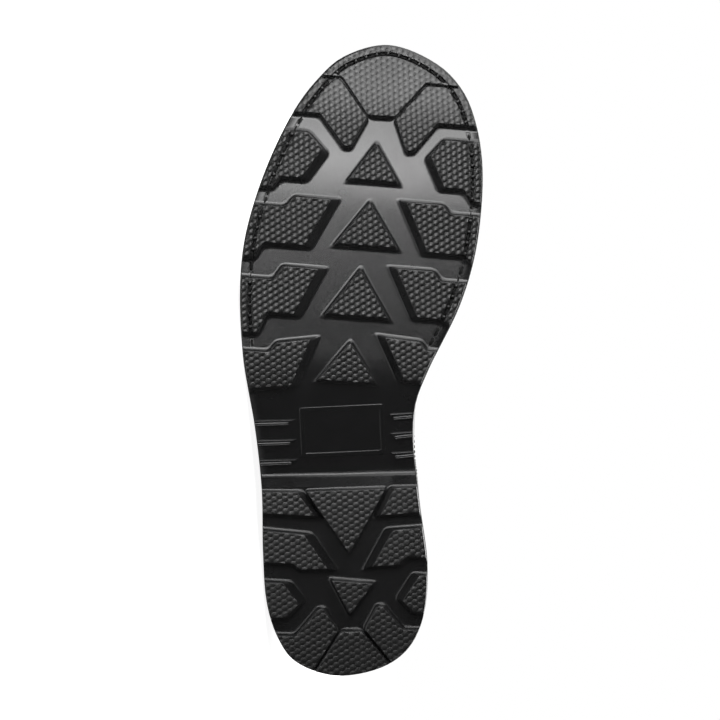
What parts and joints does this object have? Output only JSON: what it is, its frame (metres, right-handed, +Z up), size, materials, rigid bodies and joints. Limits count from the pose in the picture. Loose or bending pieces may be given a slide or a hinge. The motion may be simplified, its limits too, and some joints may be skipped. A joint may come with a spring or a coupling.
{
  "type": "steel toe boot",
  "caption": "Black leather lace-up steel toe work boot for the right foot, on its side, with a lugged rubber outsole, low heel, welt, toe cap, padded collar and tongue.",
  "frame": {"origin": "on the floor, under the middle of the boot's box as it lies on its lateral side", "axes": "+Z up from the floor, -X towards the toe, -Y the way the tread faces, +Y the way the collar opens"},
  "size_m": [0.3078, 0.194, 0.1246],
  "materials": {
    "sole": "satin, pebbled on the lug tops",
    "welt": "satin",
    "insole": "matte",
    "leather": "satin, fine grain",
    "collar": "satin, padded",
    "tongue": "satin, padded",
    "lace": "woven, matte",
    "eyelet": "black, semi-gloss"
  },
  "bodies": {
    "root": {"outsole": "sole", "welt": "welt", "insole": "insole", "upper": "leather", "toe_cap": "leather", "heel_counter": "leather", "backstay": "leather", "eyestay_lateral": "leather", "eyestay_medial": "leather", "collar": "collar", "tongue": "tongue", "laces": "lace", "eyelet_lateral_1": "eyelet", "eyelet_medial_1": "eyelet", "eyelet_lateral_2": "eyelet", "eyelet_medial_2": "eyelet", "eyelet_lateral_3": "eyelet", "eyelet_medial_3": "eyelet", "eyelet_lateral_4": "eyelet", "eyelet_medial_4": "eyelet", "eyelet_lateral_5": "eyelet", "eyelet_medial_5": "eyelet", "eyelet_lateral_6": "eyelet", "eyelet_medial_6": "eyelet"}
  },
  "joints": []
}
